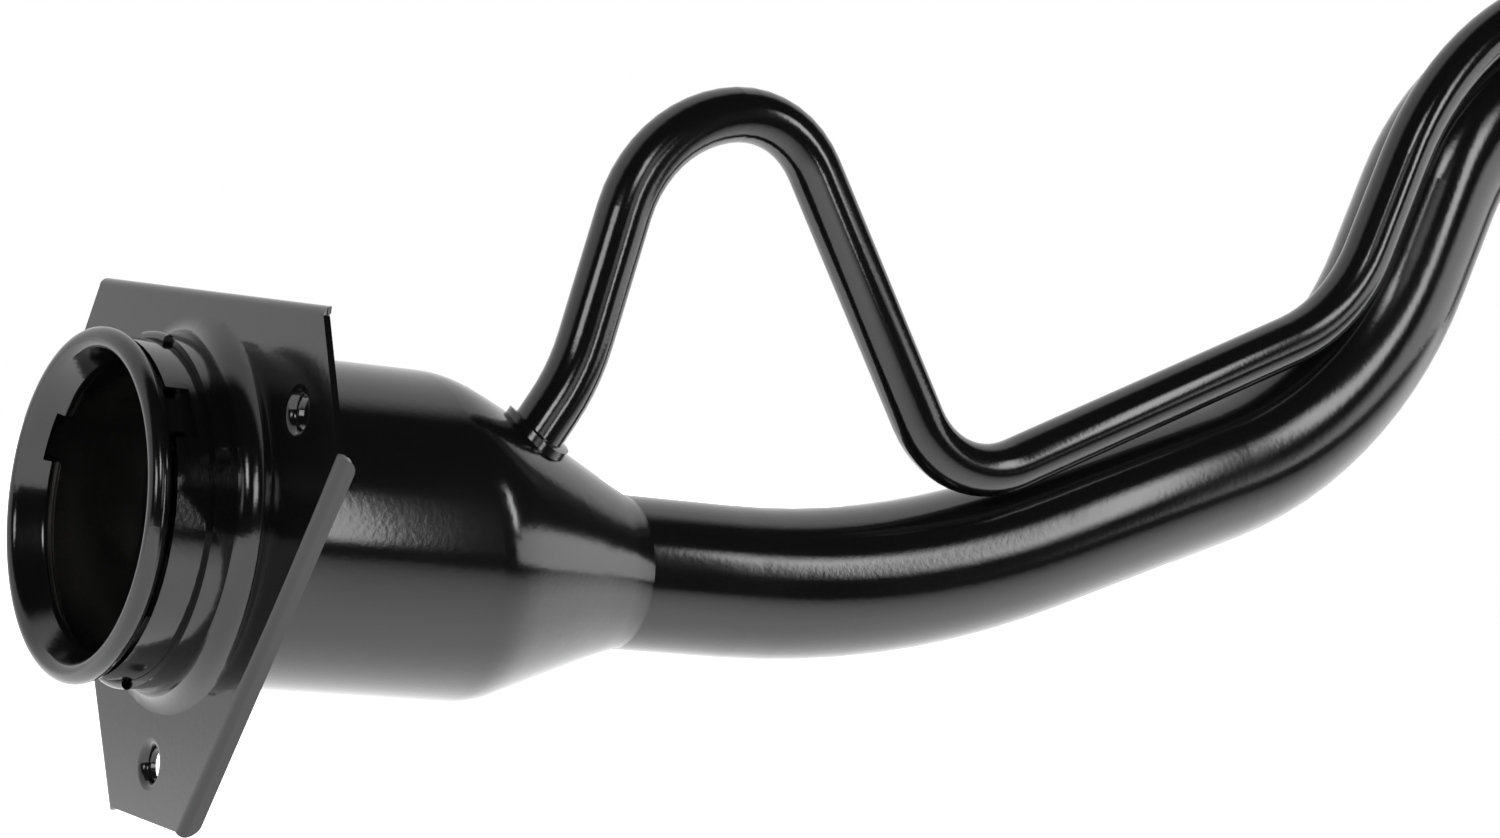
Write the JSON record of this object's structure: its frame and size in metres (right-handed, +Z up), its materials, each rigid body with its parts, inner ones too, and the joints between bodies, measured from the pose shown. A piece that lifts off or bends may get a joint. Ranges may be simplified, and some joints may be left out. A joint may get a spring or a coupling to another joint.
{
  "type": "fuel filler neck",
  "caption": "Bent steel filler pipe with a flanged mounting plate, rolled cap mouth with bayonet notches and a looped side vent tube, leading fuel from the cap to the tank hose.",
  "frame": {"origin": "on the neck's axis, at the front face of the mounting plate", "axes": "+X runs inward along the neck, away from the cap; +Z is up the plate, toward its turned top edge; the tubes bend in the XZ plane"},
  "size_m": [0.3898, 0.1122, 0.1993],
  "materials": {
    "coated_steel": "gloss black electrocoat over steel tube and sheet",
    "plated_steel": "zinc plated steel, satin",
    "spring_steel": "drawn spring wire, satin"
  },
  "bodies": {
    "neck": {"filler_pipe": "coated_steel", "vent_tube": "coated_steel", "inlet_insert": "coated_steel", "mounting_plate": "coated_steel", "vent_root_braze": "coated_steel", "tube_braze": "coated_steel", "plate_braze": "coated_steel", "nozzle_restrictor": "plated_steel", "flap_pin": "plated_steel", "flap_spring": "spring_steel"},
    "flap": {"restrictor_flap": "plated_steel"}
  },
  "joints": [
    {"name": "flap_hinge", "type": "hinge", "parent": "neck", "child": "flap", "pos_m": [0.01817, 0, 0.0132], "axis": [0, -1, 0], "range_deg": [0, 80], "stiffness_Nm_per_rad": 0.01, "springref_deg": -34.38, "deforming": ["flap_spring"]}
  ]
}
